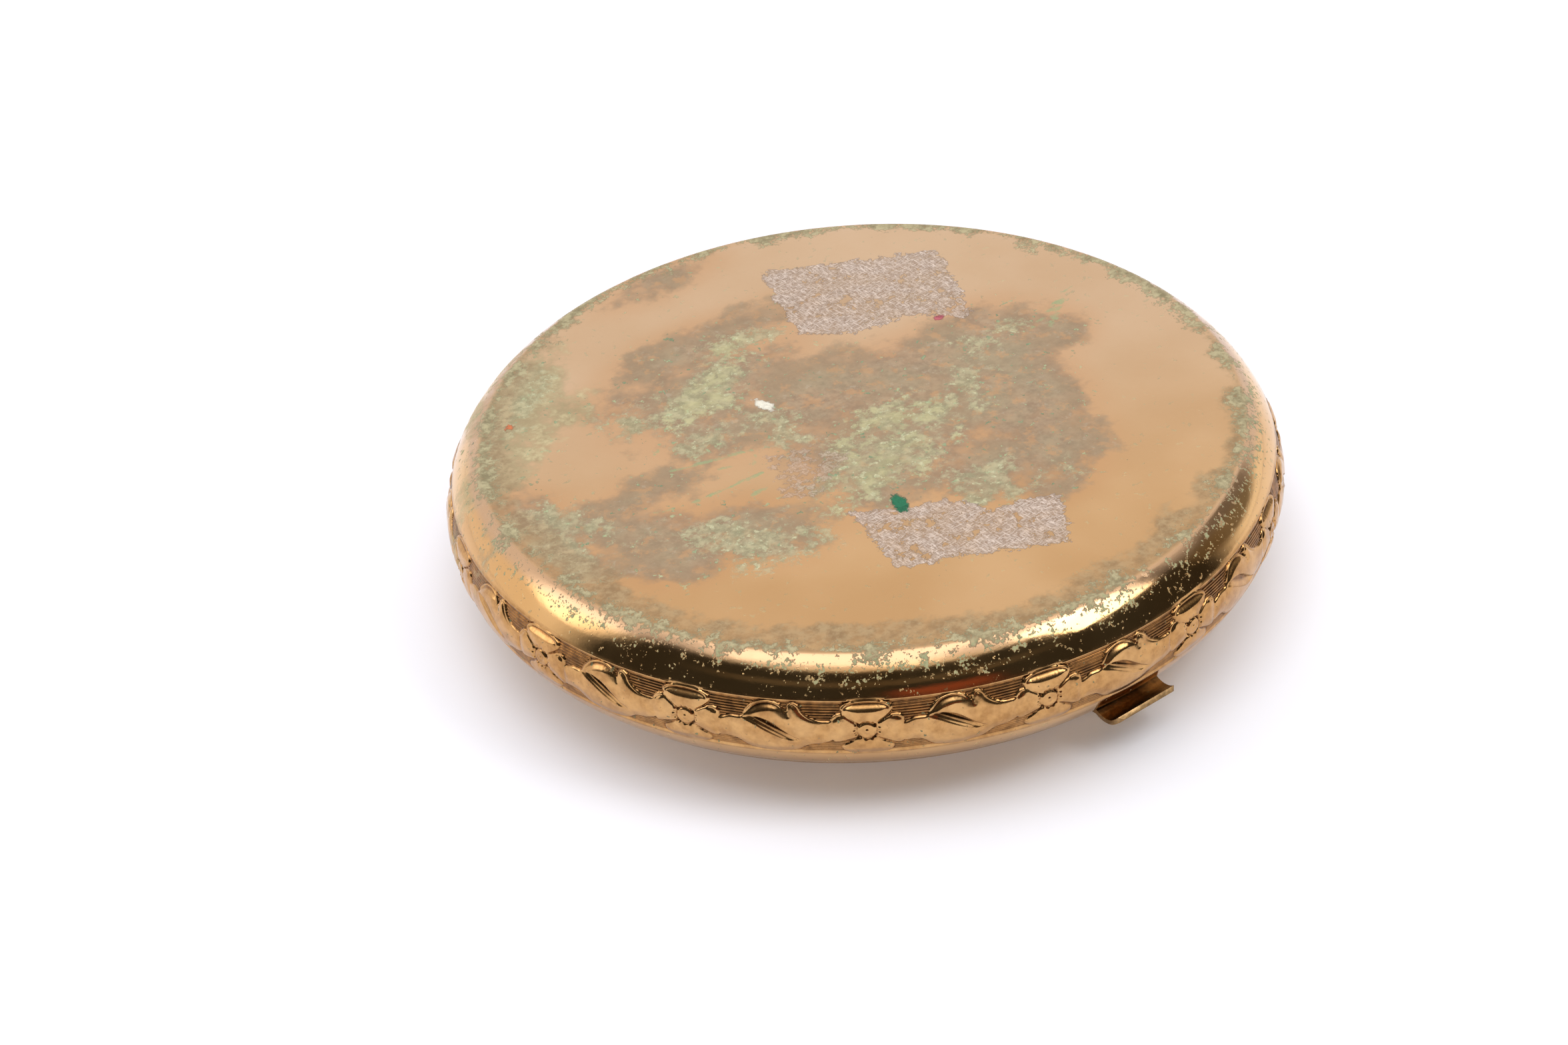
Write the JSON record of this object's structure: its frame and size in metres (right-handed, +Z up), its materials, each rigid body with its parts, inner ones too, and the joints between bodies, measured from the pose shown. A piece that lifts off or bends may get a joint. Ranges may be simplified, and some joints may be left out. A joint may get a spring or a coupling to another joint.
{
  "type": "powder compact",
  "caption": "Round hinged brass compact for loose face powder, closed, with a mirror in the lid and a tray, sifter, puff and inner door in the base.",
  "frame": {"origin": "on the case's axis, on the surface that the closed compact lies on, lid down", "axes": "+Z up along the case's axis, out of the plain back; -Y towards the thumb catch, +Y towards the hinge; +X along the hinge pin"},
  "size_m": [0.076, 0.076, 0.0155],
  "materials": {
    "gilt_back": "gilt and tarnished, satin on the flat and polished on the edge",
    "gilt": "gilt, polished",
    "aged_brass": "bare brass, darkened",
    "pin_steel": "drawn wire",
    "enamel": "gloss enamel",
    "mirror_glass": "silvered plate glass with a ground bevel",
    "card": "grey board",
    "powder": "loose face powder, matt",
    "gauze": "fine woven gauze",
    "velour": "cotton velour, fluffy",
    "satin": "satin ribbon"
  },
  "bodies": {
    "lid": {"lid_shell": "gilt", "lid_panel": "enamel", "mirror_backing": "card", "mirror": "mirror_glass", "mirror_ring": "gilt", "thumb_catch": "aged_brass", "lid_hinge_leaf": "aged_brass", "hinge_pin": "pin_steel"},
    "base": {"base_shell": "gilt_back", "powder_tray": "gilt", "face_powder": "powder", "sifter_ring": "gilt", "sifter_gauze": "gauze", "base_hinge_leaf": "aged_brass", "catch_bracket": "aged_brass", "catch_leaf": "aged_brass", "catch_rivet_left": "gilt", "catch_rivet_right": "gilt", "door_hinge_bracket": "aged_brass", "door_hinge_rivet_left": "gilt", "door_hinge_rivet_right": "gilt", "door_hinge_pin": "pin_steel"},
    "door": {"powder_door": "gilt"},
    "pad": {"puff": "velour", "puff_ribbon": "satin"}
  },
  "joints": [
    {"name": "case_hinge", "type": "hinge", "parent": "lid", "child": "base", "pos_m": [0, 0.0359, 0.0039], "axis": [-1, 0, 0], "range_deg": [0, 105]},
    {"name": "door_hinge", "type": "hinge", "parent": "base", "child": "door", "pos_m": [0, 0.0298, 0.00445], "axis": [1, 0, 0], "range_deg": [0, 63]},
    {"name": "puff_lift", "type": "slide", "parent": "base", "child": "pad", "axis": [0, 0, -1], "range_m": [0, 0.004]}
  ],
  "couplings": [
    {"joint": "door_hinge", "follows": "case_hinge", "ratio": 0.6},
    {"joint": "puff_lift", "follows": "case_hinge", "m_per_rad": 0.0021}
  ]
}
